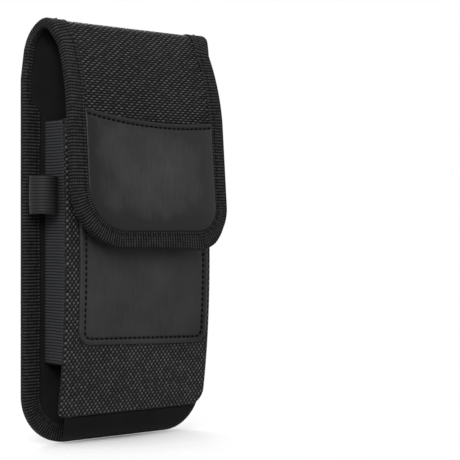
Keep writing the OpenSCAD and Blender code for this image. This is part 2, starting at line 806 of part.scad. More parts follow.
module carabiner_body() {
    hinge_face = gate_gap + gate_r;
    nose_face = gate_l + gate_gap;
    color([0.08, 0.08, 0.09]) at_carabiner() difference() {
        union() {
            bar_straight([-spine_narrow, 0], [spine_wide, 0]);
            bar_bend(wide_low, wide_low_r, -90, side_normal);
            bar_straight(on_corner(wide_low, wide_low_r, side_normal),
                on_corner(wide_high, wide_high_r, side_normal));
            bar_bend(wide_high, wide_high_r, side_normal, gate_normal);
            bar_bend(narrow, narrow_r, gate_normal, 270);
            at_gate() {
                translate([-pin_at - lap, 0, 0]) rotate([90, 0, 90])
                    linear_extrude(hinge_stub + lap) bar_section(lap_in);
                translate([nose_face, 0, 0]) rotate([90, 0, 90])
                    linear_extrude(nose_stub + lap) bar_section(lap_in);
                // Tongue that the gate turns on
                translate([0, 0, -tongue_t / 2]) cylinder(h = tongue_t, r = tongue_r);
                translate([-hinge_face - lap, -tongue_h / 2, -tongue_t / 2])
                    cube([hinge_face + lap, tongue_h, tongue_t]);
                // Key that the gate closes over
                translate([nose_face - 1.6, -tongue_h / 2, -tongue_t / 2])
                    cube([1.6 + lap, tongue_h, tongue_t]);
            }
        }
        at_gate() translate([0, 0, -bar_w]) cylinder(h = 2 * bar_w, r = pin_r, $fn = 48);
    }
}

module carabiner_gate() {
    color(steel_color) at_carabiner() at_gate() difference() {
        intersection() {
            translate([-gate_r, 0, 0]) rotate([0, 90, 0]) cylinder(h = gate_r + gate_l, r = gate_r);
            union() {
                translate([0, 0, -2 * gate_r]) cylinder(h = 4 * gate_r, r = gate_r);
                translate([0, -2 * gate_r, -2 * gate_r]) cube([gate_l + past, 4 * gate_r, 4 * gate_r]);
            }
        }
        // Slots for the hinge tongue and for the key
        translate([-2 * gate_r, -2 * gate_r, -slot_t / 2])
            cube([2 * gate_r + tongue_r + 0.3, 4 * gate_r, slot_t]);
        translate([gate_l - 2.1, -2 * gate_r, -slot_t / 2])
            cube([2.1 + past, 4 * gate_r, slot_t]);
        translate([0, 0, -2 * gate_r]) cylinder(h = 4 * gate_r, r = pin_r + pin_clear, $fn = 48);
        // Bore of the spring
        translate([tongue_r, 0, 0]) rotate([0, 90, 0])
            cylinder(h = spring_l + 0.6, r = spring_r + 0.1, $fn = 32);
    }
}

module gate_pin() {
    color(steel_color) at_carabiner() at_gate() translate([0, 0, -gate_r + 0.1])
        cylinder(h = 2 * gate_r - 0.2, r = pin_r, $fn = 48);
}

// Close-wound spring inside the gate, drawn as a sleeve
module gate_spring() {
    color(steel_color) at_carabiner() at_gate() translate([tongue_r + 0.4, 0, 0])
        rotate([0, 90, 0]) difference() {
            cylinder(h = spring_l, r = spring_r, $fn = 32);
            translate([0, 0, -past]) cylinder(h = spring_l + 2 * past, r = spring_r / 2, $fn = 32);
        }
}

// Moves the model so that its origin is where the belt bears in the clip
module from_belt_seat() {
    translate([0, -(loop_face_y + clip_gap / 2), -clip_top_z]) children();
}

from_belt_seat() outer_shell();
from_belt_seat() stiffener_board();
from_belt_seat() inner_lining();
from_belt_seat() edge_binding();
from_belt_seat() flap_leather_patch();
from_belt_seat() front_panel();
from_belt_seat() front_board();
from_belt_seat() front_lining();
from_belt_seat() mouth_hem();
from_belt_seat() front_leather_patch();
from_belt_seat() side_gusset(-1);  // side_gusset_left
from_belt_seat() side_gusset(1);  // side_gusset_right
from_belt_seat() bottom_gusset();
from_belt_seat() pen_loop();
from_belt_seat() flap_magnet();
from_belt_seat() front_magnet();
from_belt_seat() belt_loop();
from_belt_seat() belt_clip();
from_belt_seat() clip_rivets();
from_belt_seat() rivet_washers();
from_belt_seat() ring_tab();
from_belt_seat() tab_ring();
from_belt_seat() carabiner_body();
from_belt_seat() carabiner_gate();
from_belt_seat() gate_pin();
from_belt_seat() gate_spring();
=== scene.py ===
import bmesh
import bpy
import math
import numpy as np
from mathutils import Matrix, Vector

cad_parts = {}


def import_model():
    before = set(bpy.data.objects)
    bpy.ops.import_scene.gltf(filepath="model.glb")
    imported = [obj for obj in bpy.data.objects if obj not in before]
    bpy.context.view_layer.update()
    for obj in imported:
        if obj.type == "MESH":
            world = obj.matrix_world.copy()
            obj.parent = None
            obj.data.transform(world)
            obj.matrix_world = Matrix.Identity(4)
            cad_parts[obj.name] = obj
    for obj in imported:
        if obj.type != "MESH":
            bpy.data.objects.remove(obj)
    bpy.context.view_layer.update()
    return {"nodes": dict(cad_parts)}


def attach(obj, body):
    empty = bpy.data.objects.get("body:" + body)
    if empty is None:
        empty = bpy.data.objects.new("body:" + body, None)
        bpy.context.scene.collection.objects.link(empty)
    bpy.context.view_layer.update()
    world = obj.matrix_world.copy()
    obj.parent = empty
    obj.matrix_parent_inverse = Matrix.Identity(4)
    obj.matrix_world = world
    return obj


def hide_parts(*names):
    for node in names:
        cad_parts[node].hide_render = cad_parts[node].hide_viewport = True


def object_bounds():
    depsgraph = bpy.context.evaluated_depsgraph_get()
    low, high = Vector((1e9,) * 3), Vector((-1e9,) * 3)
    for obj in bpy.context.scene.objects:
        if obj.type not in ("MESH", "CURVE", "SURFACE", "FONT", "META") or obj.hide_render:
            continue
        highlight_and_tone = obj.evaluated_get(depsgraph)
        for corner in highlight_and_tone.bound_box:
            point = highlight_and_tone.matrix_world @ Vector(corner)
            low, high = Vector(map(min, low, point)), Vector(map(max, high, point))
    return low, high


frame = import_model()
NODES = frame["nodes"]

# Sizes in millimetres, in the drawing frame: z = 0 at the lower edge, y = 0 at the back face and
# the front at -y. In the names, T is a thickness, HW half a width and CR a corner's radius, and
# PEN and PLAIN are the sides with and without the pen loop.
SEAT_Y, SEAT_Z = 6.1, 131.5
# the folded strip: half widths from the back over the crest to the flap, and where they change
STRIP_H, STRIP_T, CLOTH_T = 187.4, 3.6, 0.74
BACK_HW, SHOULDER_HW, CREST_HW, WAIST_HW, FLAP_HW = 50.5, 48.8, 45.3, 42.2, 43.4
TAPER_Z, SHOULDER_Z, WAIST_Z = 161.4, 174.4, 177.0
BACK_CR, PEN_CR, PLAIN_CR = 22.0, 27.0, 19.0
FLAP_Z, FLAP_LEAN, FLAP_CLEAR = 86.9, math.radians(4.5), 7.8
# binding tape: a leg's width, its width inside the fold, the round at the edge, the seam's distance in
TAPE_T, TAPE_W, FOLD_TAPE_W = 0.7, 8.0, 3.0
TAPE_ROUND, TAPE_SEAM, RIB_PITCH = 1.3, 5.9, 1.4
# front wall: its face is bowed with one radius below BOW_Z and another above it
FRONT_D, FRONT_T, FRONT_HW, FRONT_Z, MOUTH_Z = 22.0, 2.6, 40.7, 12.8, 143.0
FRONT_PEN_CR, FRONT_PLAIN_CR = 3.0, 7.5
BOW_Z, BOW_LOW, BOW_HIGH = 80.0, 400.0, 1300.0
# webs at the pocket's sides and foot
GUSSET_X, GUSSET_Z = 40.2, 36.0
WEB_LENGTH, WEB_HW = 17.5, 37.5
# leather on the flap: how far in from the strip's edge, lower edge, seam's distance from the upper
# edge, which sags as an arc of SAG_R, and the part of the rows over which the sag fades
LEATHER_T, LEATHER_IN = 0.95, TAPE_W - 0.6
LEATHER_Z, FLAP_SEAM = FLAP_Z + LEATHER_IN, 2.6
SAG_X, SAG_Z, SAG_R, LEATHER_FADE = 11.0, 143.5, 230.0, 0.62
# leather on the front wall: middle, half width, lower and upper edge, seam's distance in
PATCH_X, PATCH_HW, PATCH_Z, PATCH_TOP = 2.2, 36.5, 43.6, 128.0
PATCH_CR, PATCH_SEAM = 6.5, 3.0
# pen loop: the pen's axis, the loop's foot and height, and where it leaves the strip
PEN_LOOP_X, PEN_LOOP_Y, PEN_LOOP_Z, PEN_LOOP_H, PEN_LOOP_ROOT = -46.2, -11.5, 102.0, 16.5, -41.6
# raised bands sewn across the back at the belt loop's two ends, and their seams' distance in
BANDS, BAND_SEAM = ((67.6, 73.8), (135.0, 141.4)), 1.1
# belt loop: the heights between which it is free, its half width, and how far behind the back its
# sewn ends and its middle lie
STRAP_FREE, STRAP_HW, STRAP_END_Y, STRAP_Y = (76.0, 134.0), 18.0, 1.6, 3.2
# stitches: pitch and length
TAPE_STITCH, LEATHER_STITCH, BACK_STITCH = (2.9, 2.1), (2.6, 1.9), (2.7, 2.0)
# in metres: points closer than SAME are joined, and a soft copy's edges are shorter than SOFT_CELL
SAME, SOFT_CELL = 2e-6, .0016

# The fold: an arc of BACK_R, one of FRONT_R and a wide one down to the flap's straight part, which
# begins at BEND_Y and BEND_Z
BACK_R, FRONT_R = 10.0, 7.1
BEND_Z = MOUTH_Z + 2
BEND_Y = 2 * math.tan(FLAP_LEAN) - (FRONT_D - (MOUTH_Z - BOW_Z) ** 2 / (2 * BOW_HIGH) + FLAP_CLEAR)


def wide_radius():
    """Radius of the arc that touches the crest's front arc and the flap's straight part."""
    y, z = BEND_Y + BACK_R, BEND_Z - STRIP_H + FRONT_R
    reach = y * math.cos(FLAP_LEAN) - z * math.sin(FLAP_LEAN) + FRONT_R
    return (y ** 2 + z ** 2 - FRONT_R ** 2) / (-2 * reach)


WIDE_R = wide_radius()
WIDE_Y, WIDE_Z = BEND_Y + WIDE_R * math.cos(FLAP_LEAN), BEND_Z - WIDE_R * math.sin(FLAP_LEAN)
FOLD_LEAN = math.atan2(STRIP_H - FRONT_R - WIDE_Z, WIDE_Y + BACK_R)

# Lengths along the folded strip, from its lower edge, at which its stretches end
BACK_END = STRIP_H - BACK_R
CREST_END = BACK_END + BACK_R * math.pi / 2
ROUND_END = CREST_END + FRONT_R * (math.pi / 2 - FOLD_LEAN)
WIDE_END = ROUND_END + WIDE_R * (FOLD_LEAN - FLAP_LEAN)
STRIP_END = WIDE_END + (BEND_Z - FLAP_Z) / math.cos(FLAP_LEAN)


# Surfaces that the pieces lie on
def world(p):
    """Millimetres in the drawing frame to metres in the row frame."""
    p = np.asarray(p, float).copy()
    p[..., 1] -= SEAT_Y
    p[..., 2] -= SEAT_Z
    return p / 1000.0


def strip(s):
    """y, z and the outward normal's y, z of the strip's outer face at length s."""
    s = np.asarray(s, float)
    a1 = np.clip((s - BACK_END) / BACK_R, 0, math.pi / 2)
    a2 = math.pi / 2 + np.clip((s - CREST_END) / FRONT_R, 0, math.pi / 2 - FOLD_LEAN)
    a3 = FOLD_LEAN - np.clip((s - ROUND_END) / WIDE_R, 0, FOLD_LEAN - FLAP_LEAN)
    parts = [s < BACK_END, s < CREST_END, s < ROUND_END, s < WIDE_END, s >= WIDE_END]
    y = np.select(parts, [0 * s, -BACK_R + BACK_R * np.cos(a1), -BACK_R + FRONT_R * np.cos(a2),
                          WIDE_Y - WIDE_R * np.cos(a3), BEND_Y - (s - WIDE_END) * math.sin(FLAP_LEAN)])
    z = np.select(parts, [s, BACK_END + BACK_R * np.sin(a1), STRIP_H - FRONT_R + FRONT_R * np.sin(a2),
                          WIDE_Z + WIDE_R * np.sin(a3), BEND_Z - (s - WIDE_END) * math.cos(FLAP_LEAN)])
    ny = np.select(parts, [1 + 0 * s, np.cos(a1), np.cos(a2), -np.cos(a3), -np.cos(a3)])
    nz = np.select(parts, [0 * s, np.sin(a1), np.sin(a2), np.sin(a3), np.sin(a3)])
    return y, z, ny, nz


def strip_point(x, s, d):
    """A place d out of the strip's outer face, at x across and s along it."""
    y, z, ny, nz = strip(s)
    return np.stack([np.broadcast_to(x, y.shape), y + ny * d, z + nz * d], -1)


def flap_s(z):
    """The length along the strip at height z on the flap."""
    t = np.linspace(STRIP_END, ROUND_END, 3000)
    return np.interp(z, strip(t)[1], t)


def back_half(z):
    return np.interp(z, [TAPER_Z, SHOULDER_Z, STRIP_H - 1], [BACK_HW, SHOULDER_HW, CREST_HW])


def flap_half(z):
    return np.interp(z, [BEND_Z, WAIST_Z, STRIP_H - 1], [FLAP_HW, WAIST_HW, CREST_HW])


def rounded_half(z, low, hw, r):
    """Half the width at height z of a panel with its foot at low and corners of radius r there."""
    return np.where(z < low + r, hw - r + np.sqrt(np.clip(r ** 2 - (low + r - z) ** 2, 0, None)), hw)


def front_point(x, z, d):
    """A place d out of the front wall's bowed face."""
    z = np.asarray(z, float)
    r = np.where(z < BOW_Z, BOW_LOW, BOW_HIGH)
    ny = -np.sqrt(1 - ((z - BOW_Z) / r) ** 2)
    nz = (z - BOW_Z) / r
    y = r - FRONT_D + ny * r
    return np.stack([np.broadcast_to(x, y.shape), y + ny * d, z + nz * d], -1)


# Meshes
def link(name, m):
    o = bpy.data.objects.new(name, m)
    bpy.context.scene.collection.objects.link(o)
    return o


def mesh(name, verts, faces, uv=None):
    """A smooth object from points in metres, with one uv pair a vertex."""
    m = bpy.data.meshes.new(name)
    m.from_pydata(np.asarray(verts).tolist(), [], [tuple(int(i) for i in f) for f in faces])
    m.update()
    if uv is not None:
        add_uv(m, "flat", np.asarray(uv))
    m.polygons.foreach_set("use_smooth", [True] * len(m.polygons))
    return link(name, m)


def add_uv(m, name, uv):
    layer = m.uv_layers.new(name=name)
    idx = np.empty(len(m.loops), np.int32)
    m.loops.foreach_get("vertex_index", idx)
    layer.data.foreach_set("uv", uv[idx].astype(np.float32).ravel())
    return layer


def grid_faces(rows, cols, base=0, flip=False):
    faces = []
    for r in range(rows - 1):
        for c in range(cols - 1):
            a = base + r * cols + c
            q = (a, a + 1, a + 1 + cols, a + cols)
            faces.append(q[::-1] if flip else q)
    return faces


def edge_distance(px, pv, outline):
    """Distance from points to the closed outline."""
    a = np.asarray(outline, float)
    b = np.roll(a, -1, 0)
    p = np.stack([px.ravel(), pv.ravel()], -1)
    best = np.full(len(p), 1e9)
    for i in range(len(a)):
        ab = b[i] - a[i]
        t = np.clip(((p - a[i]) @ ab) / max(ab @ ab, 1e-12), 0, 1)
        d = np.hypot(*(p - a[i] - t[:, None] * ab).T)
        best = np.minimum(best, d)
    return best.reshape(px.shape)


def columns_across(cols):
    """Places from 0 to 1 across a sheet, closer together at its two edges."""
    near = [0, .004, .012, .025, .045]
    return np.concatenate([near, np.linspace(.07, .93, cols), [.955, .975, .988, .996, 1]])


def rolled(e, roll):
    """How far the edge's roll has risen at distance e from it, as a quarter circle and as a straight
    line. e itself is set to 0 all round the grid."""
    e[0], e[-1], e[:, 0], e[:, -1] = 0, 0, 0, 0
    k = np.clip(e / roll, 0, 1)
    return np.sqrt(np.clip(1 - (1 - k) ** 2, 0, 1)), k


def two_faces(name, point, x, v, face, back, e):
    """The closed sheet between two offsets of the same grid. A second uv layer, rim, holds each
    vertex's distance from the sheet's edge, in metres."""
    n, c = x.shape
    verts = np.concatenate([point(x, v, face).reshape(-1, 3), point(x, v, back).reshape(-1, 3)])
    uv = np.stack([x.ravel(), v.ravel()], -1) / 1000
    rim = np.stack([e.ravel(), 0 * e.ravel()], -1) / 1000
    faces = grid_faces(n, c) + grid_faces(n, c, n * c, flip=True)
    o = mesh(name, world(verts), faces, np.concatenate([uv, uv]))
    add_uv(o.data, "rim", np.concatenate([rim, rim]))
    o.data.uv_layers.active_index = 0
    return outward(o, SAME)


def slab(name, point, vs, left, right, cols, d0, d1, roll, bump=None, lift=None):
    """A sheet between offsets d0 (face) and d1 (back), its edge rolled off over the width roll.
    vs are the rows; left and right give each row's ends."""
    v = np.asarray(vs, float)[:, None]
    xl, xr = np.asarray(left, float)[:, None], np.asarray(right, float)[:, None]
    x = xl + (xr - xl) * columns_across(cols)[None]
    vv = np.broadcast_to(v, x.shape)
    outline = np.concatenate([np.stack([xr[:, 0], v[:, 0]], -1), np.stack([xl[:, 0], v[:, 0]], -1)[::-1]])
    e = edge_distance(x, vv, outline)
    h, k = rolled(e, roll)
    mid = (d0 + d1) / 2 if lift is None else lift
    face = mid + (d0 - mid) * h
    if bump is not None:
        face = face + bump(x, vv, e) * k
    return two_faces(name, point, x, vv, face, mid + (d1 - mid) * h, e)


def outward(o, merge=0.0):
    """Turns a closed mesh's faces outward, once points closer than merge are joined."""
    b = bmesh.new()
    b.from_mesh(o.data)
    if merge:
        bmesh.ops.remove_doubles(b, verts=b.verts, dist=merge)
    bmesh.ops.recalc_face_normals(b, faces=b.faces)
    b.to_mesh(o.data)
    b.free()
    return o


def soft_noise(scale, amount, seed):
    """A slow wave over x and v, for cloth that isn't quite flat."""
    r = np.random.default_rng(seed)
    waves = [(r.uniform(.5, 1.6) / scale, r.uniform(.5, 1.6) / scale, r.uniform(0, 6.3), r.choice([-1, 1]))
             for _ in range(7)]

    def f(x, v, e):
        return amount / 2.2 * sum(np.sin(a * x + s * b * v + p) for a, b, p, s in waves) / 2
    return f


def crown(e, height):
    """A rise from the edge to the middle of a stuffed patch."""
    return height * (1 - np.exp(-e / 8))


def stitch_groove(gap):
    """A dip where a seam pulls leather in, gap from the seam."""
    return .5 * np.exp(-(gap / .75) ** 2)


def tubes(name, paths, radius):
    """Many short capsules in one mesh: each path is a polyline of points in metres."""
    sides = 6
    verts, faces = [], []
    for path in paths:
        p = np.asarray(path, float)
        base = len(verts)
        n = len(p)
        for i in range(n):
            d = p[min(i + 1, n - 1)] - p[max(i - 1, 0)]
            d = d / max(np.linalg.norm(d), 1e-12)
            up = np.array([0, 0, 1.0]) if abs(d[2]) < .9 else np.array([1.0, 0, 0])
            u = np.cross(d, up)
            u /= np.linalg.norm(u)
            w = np.cross(d, u)
            f = radius * (math.sin(math.pi * (i + .35) / (n - .3)) ** .5)
            for k in range(sides):
                a = 2 * math.pi * k / sides
                verts.append(p[i] + f * (u * math.cos(a) + w * math.sin(a)))
        for i in range(n - 1):
            for k in range(sides):
                a, b = base + i * sides + k, base + i * sides + (k + 1) % sides
                faces.append((a, b, b + sides, a + sides))
        faces.append(tuple(base + k for k in range(sides))[::-1])
        faces.append(tuple(base + (n - 1) * sides + k for k in range(sides)))
    return mesh(name, verts, faces)


def along(points, stitch, lift):
    """Stitches of the given pitch and length along a polyline in millimetres. Each bulges along
    lift, the outward direction at its middle."""
    pitch, length = stitch
    p = np.asarray(points, float)
    seg = np.linalg.norm(np.diff(p, axis=0), axis=1)
    s = np.concatenate([[0], np.cumsum(seg)])
    out = []
    n = int(s[-1] // pitch)
    step = s[-1] / max(n, 1)
    for i in range(n):
        mid = (i + .5) * step
        t = np.linspace(mid - length / 2, mid + length / 2, 5)
        q = np.stack([np.interp(t, s, p[:, k]) for k in range(3)], -1)
        up = np.stack([np.interp(mid, s, lift[:, k]) for k in range(3)], -1)
        out.append(world(q + up * np.array([-.25, .05, .15, .05, -.25])[:, None]))
    return out


# Materials
def grey(v):
    return (v, v, v * 1.03)


def material(name, color, rough, spec=.5):
    """A new material, short forms for its nodes, and its shader."""
    m = bpy.data.materials.new(name)
    m.use_nodes = True
    b = m.node_tree.nodes["Principled BSDF"]
    b.inputs["Base Color"].default_value = (*color, 1)
    b.inputs["Roughness"].default_value = rough
    b.inputs["Specular IOR Level"].default_value = spec
    return m, Graph(m.node_tree), b


class Graph:
    """Short forms for shader nodes."""

    def __init__(self, tree):
        self.t = tree

    def node(self, kind, **settings):
        n = self.t.nodes.new(kind)
        for k, v in settings.items():
            setattr(n, k, v)
        return n

    def put(self, socket, value):
        if isinstance(value, bpy.types.NodeSocket):
            self.t.links.new(value, socket)
        else:
            socket.default_value = value

    def fill(self, n, *values):
        """Puts values into the node's first inputs and gives its first output."""
        for socket, v in zip(n.inputs, values):
            self.put(socket, v)
        return n.outputs[0]

    def math(self, op, a, b=0.0, c=0.0):
        return self.fill(self.node("ShaderNodeMath", operation=op), a, b, c)

    def times(self, a, b):
        return self.math("MULTIPLY", a, b)

    def plus(self, a, b):
        return self.math("ADD", a, b)

    def power(self, a, b):
        return self.math("POWER", a, b)

    def ridges(self, x, pitch, op="SINE"):
        """Rises from 0 to 1 and back once every pitch, in mm, along x, in metres."""
        return self.math("ABSOLUTE", self.math(op, self.times(x, math.pi * 1000 / pitch)))

    def split(self, vector):
        n = self.node("ShaderNodeSeparateXYZ")
        self.put(n.inputs[0], vector)
        return n.outputs[0], n.outputs[1], n.outputs[2]

    def uv(self, layer="flat"):
        return self.split(self.node("ShaderNodeUVMap", uv_map=layer).outputs[0])[:2]

    def place(self):
        return self.node("ShaderNodeTexCoord").outputs["Object"]

    def noise(self, scale, detail=3.0, rough=.5, vector=None):
        n = self.node("ShaderNodeTexNoise")
        self.put(n.inputs["Vector"], self.place() if vector is None else vector)
        self.put(n.inputs["Scale"], scale)
        self.put(n.inputs["Detail"], detail)
        self.put(n.inputs["Roughness"], rough)
        return n.outputs[0]

    def ramp(self, fac, stops):
        n = self.node("ShaderNodeValToRGB")
        self.put(n.inputs[0], fac)
        e = n.color_ramp.elements
        while len(e) < len(stops):
            e.new(.5)
        for i, (p, c) in enumerate(stops):
            e[i].position = p
            e[i].color = (*c, 1)
        return n.outputs[0]

    def bump(self, height, distance, strength):
        n = self.node("ShaderNodeBump")
        self.put(n.inputs["Height"], height)
        self.put(n.inputs["Distance"], distance)
        self.put(n.inputs["Strength"], strength)
        return n.outputs[0]

    def combine(self, x, y, z=0.0):
        return self.fill(self.node("ShaderNodeCombineXYZ"), x, y, z)


def woven(name, pitch, slant, fade, tones, part):
    """Heavy plain weave: crosswise floats on a dark ground, each float's sheen a painted highlight in the
    colour. pitch is a thread's pitch across and along in mm, slant a float's lean, fade how fast the
    painted highlight dims as painted shade towards a float's ends, tones the dark, middle and bright
    tone, and part how sharply the rows part, or 0."""
    low, base, high = tones
    m, g, b = material(name, grey(base), .6, .06)
    u, v = g.uv()
    jitter = g.noise(160, 2)
    u = g.plus(g.times(u, 1000 / pitch[0]), g.times(jitter, .35))
    v = g.plus(g.times(v, 1000 / pitch[1]), g.times(jitter, .2))
    # each float leans a little within its row
    u = g.plus(u, g.times(g.math("SUBTRACT", g.math("FRACT", v), .5), slant))
    su, sv = g.math("SINE", g.times(u, math.pi)), g.math("SINE", g.times(v, math.pi))
    row, col = g.math("SIGN", sv), g.math("SIGN", su)
    over_weft = g.math("MULTIPLY_ADD", g.times(su, row), .5, .5)
    over_warp = g.math("SUBTRACT", .5, g.times(g.times(sv, col), .5))
    weft = g.times(g.power(g.math("ABSOLUTE", sv), .55), over_weft)
    warp = g.times(g.power(g.math("ABSOLUTE", su), .55), over_warp)
    height = g.math("MAXIMUM", weft, g.times(warp, .8))
    fibre = g.noise(1, 2, .6, g.combine(g.times(u, 1.2), g.times(v, 9)))
    # painted highlight along each float, dimming towards its ends as painted shade
    if part:
        highlight_and_tone = g.times(g.power(g.math("ABSOLUTE", sv), part), g.power(over_weft, fade))
    else:
        highlight_and_tone = g.power(g.math("MULTIPLY_ADD", g.times(su, sv), .5, .5), fade)
    # no two floats are quite alike
    cell = g.node("ShaderNodeTexWhiteNoise", noise_dimensions="2D")
    g.put(cell.inputs["Vector"], g.combine(g.math("FLOOR", u), g.math("FLOOR", v)))
    highlight_and_tone = g.times(highlight_and_tone, g.math("MULTIPLY_ADD", cell.outputs["Value"], .55, .72))
    highlight_and_tone = g.times(highlight_and_tone, g.math("MULTIPLY_ADD", fibre, 1.1, .4))
    highlight_and_tone = g.plus(highlight_and_tone, g.times(g.power(warp, 2), .08))
    # and the cloth is a little lighter in some places
    highlight_and_tone = g.times(highlight_and_tone, g.math("MULTIPLY_ADD", g.noise(22, 2), .5, .75))
    g.put(b.inputs["Base Color"], g.ramp(highlight_and_tone, [(0, grey(low)), (.4, grey(base)), (1, grey(high))]))
    g.put(b.inputs["Normal"], g.bump(g.plus(height, g.times(fibre, .12)), .00045, .9))
    g.put(b.inputs["Roughness"], g.math("SUBTRACT", .62, g.times(weft, .22)))
    return m


def ribbed(name, pitch, low, high, tint=(1, 1, 1)):
    """Ribs across a tape or an elastic, their crests a painted highlight and their hollows painted shade;
    u runs across it and v along it.
    """
    m, g, b = material(name, grey(high), .62, .2)
    u, v = g.uv()
    uneven = g.times(g.noise(260, 2), .25)
    s = g.plus(g.times(v, 1000 / pitch), uneven)
    s = g.math("ABSOLUTE", g.math("SINE", g.times(s, math.pi)))
    h = g.plus(g.power(s, .6), g.times(g.ridges(u, .55), .22))
    # painted highlight on the rib crests, painted shade in the hollows
    lit = g.times(g.power(s, 1.5), g.math("MULTIPLY_ADD", g.noise(900, 2), .8, .6))
    stops = [(place, [tone * t for t in tint]) for place, tone in ((0, low), (1, high))]
    g.put(b.inputs["Base Color"], g.ramp(lit, stops))
    g.put(b.inputs["Normal"], g.bump(h, .0003, .8))
    return m


def leather(name, value, rim_shade_width, rim_shade_amount, shaded_side_x):
    """Grained leather with painted shade: darker towards its rim over rim_shade_width in metres, where it
    dips towards the tape, and more towards its plain side at shaded_side_x in mm, which turns from the
    light."""
    m, g, b = material(name, grey(value), .5, .15)
    # painted shade: darker towards the rim, where the leather dips towards the tape
    outer = g.math("EXPONENT", g.times(g.uv("rim")[0], -1 / rim_shade_width))
    u, v = g.uv()
    # painted shade: darker towards the plain side, which turns away from the light
    inside = g.math("MAXIMUM", g.math("SUBTRACT", shaded_side_x / 1000, u), 0.0)
    side = g.math("EXPONENT", g.times(inside, -1 / .006))
    vec = g.combine(u, v)
    big = g.noise(38, 4, .55, vec)
    streak = g.noise(1, 3, .6, g.combine(g.times(u, 900), g.times(v, 120)))
    grain = g.node("ShaderNodeTexVoronoi", feature="DISTANCE_TO_EDGE")
    g.put(grain.inputs["Vector"], vec)
    g.put(grain.inputs["Scale"], 1500)
    tone = g.plus(g.math("MULTIPLY_ADD", big, 1.1, -.25), g.times(streak, .4))
    tone = g.math("SUBTRACT", tone, g.times(outer, rim_shade_amount))
    tone = g.math("SUBTRACT", tone, g.times(side, .57))
    stops = [(0, grey(value * .3)), (.5, grey(value)), (.75, grey(value * 1.4))]
    g.put(b.inputs["Base Color"], g.ramp(tone, stops))
    h = g.plus(g.times(g.math("MINIMUM", grain.outputs["Distance"], .12), 2.2), g.times(streak, .3))
    g.put(b.inputs["Normal"], g.bump(h, .00012, .55))
    g.put(b.inputs["Roughness"], g.math("MULTIPLY_ADD", tone, .18, .36))
    return m


def smooth_cloth(name, value):
    m, g, b = material(name, grey(value), .7, .04)
    u, v = g.uv()
    su, sv = (g.math("SINE", g.times(w, math.pi * 1000 / .35)) for w in (u, v))
    g.put(b.inputs["Base Color"], g.ramp(g.noise(60, 3), [(.3, grey(value * .75)), (.7, grey(value * 1.2))]))
    g.put(b.inputs["Normal"], g.bump(g.times(su, sv), .00008, .5))
    return m


def metal(name, color, rough, metallic=1.0, spec=.5):
    """Worn steel, or painted steel where metallic is 0."""
    m, g, b = material(name, color, rough, spec)
    b.inputs["Metallic"].default_value = metallic
    fine, big = g.noise(900, 3, .6), g.noise(120, 3, .5)
    g.put(b.inputs["Roughness"], g.math("MULTIPLY_ADD", g.plus(fine, big), .08, rough - .08))
    g.put(b.inputs["Normal"], g.bump(fine, .00002, .3))
    stops = [(place, [v * tone for v in color]) for place, tone in ((.3, .9), (.7, 1.12))]
    g.put(b.inputs["Base Color"], g.ramp(big, stops))
    return m


# one nylon in two copies: the strip's gets darker tones than the front panel's, as painted shade for the
# light the leaning flap catches
NYLON = woven("nylon", (1.46, 1.125), .3, .5, (.001, .008, .1), 1.9)
PANEL = woven("nylon_panel", (1.07, 1.33), -.2, 1.5, (.003, .019, .13), 0)
TAPE = ribbed("tape", RIB_PITCH, .002, .022)
LEATHER = leather("leather", .039, .010, .82, FLAP_HW - 7)
FRONT_LEATHER = leather("front_leather", .0292, .006, .1, PATCH_X + PATCH_HW)
LINING = smooth_cloth("lining", .012)
DARK = smooth_cloth("dark_cloth", .0088)
ELASTIC = ribbed("elastic", 1.3, .006, .05, (.95, .97, 1.05))
LOOP = ribbed("loop_elastic", 1.3, .001, .018, (.94, .96, 1.06))
WEBBING = ribbed("webbing", .9, .004, .03)
THREAD = material("thread", grey(.002), .7, .05)[0]
TAPE_THREAD = material("tape_thread", grey(.008), .7, .05)[0]
BLACK = metal("black_steel", grey(.011), .4, metallic=.0, spec=.3)
BRIGHT = metal("bright_steel", (.46, .46, .47), .3)
DULL = metal("magnet_steel", (.35, .35, .36), .35)
BOARD = smooth_cloth("board", .02)


def dress(o, mat, node=None):
    """Gives a piece its material and the holster's body, and hides the CAD node whose place it takes."""
    o.data.materials.clear()
    o.data.materials.append(mat)
    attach(o, "holster")
    if node:
        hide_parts(node)


# Outer cloth and lining of the folded strip
def strip_rows(edge):
    """Rows s with their left and right ends, set in by edge. They lie closer together in the
    corners and where the bands begin and end."""
    quarter = np.linspace(0, math.pi / 2, 26)
    low = np.sort(np.append(BACK_CR - BACK_CR * np.cos(quarter), .6))
    fine = [end + k for band in BANDS for end in band for k in np.linspace(-1.6, 1.6, 13)]
    back = np.sort(np.concatenate([np.linspace(BACK_CR, BACK_END, 56)[1:], fine]))
    arc = np.linspace(BACK_END, WIDE_END, 80)[1:]
    straight = np.linspace(BEND_Z, FLAP_Z + PEN_CR, 18)[1:]
    corner = FLAP_Z + PEN_CR - PEN_CR * np.sin(np.linspace(0, math.pi / 2, 30))[1:]
    s = np.concatenate([low, back, arc, flap_s(np.concatenate([straight, corner]))])
    z = strip(s)[1]
    hb = np.where(z < BACK_CR, rounded_half(z, 0, BACK_HW, BACK_CR), back_half(z))
    xl = -np.where(s > CREST_END, rounded_half(z, FLAP_Z, flap_half(z), PEN_CR), hb)
    xr = np.where(s > CREST_END, rounded_half(z, FLAP_Z, flap_half(z), PLAIN_CR), hb)
    s[0] += edge
    s[-1] -= edge
    keep = (s >= s[0]) & (s <= s[-1])
    return s[keep], (xl + edge)[keep], (xr - edge)[keep]


shell_wave = soft_noise(9, .12, 3)


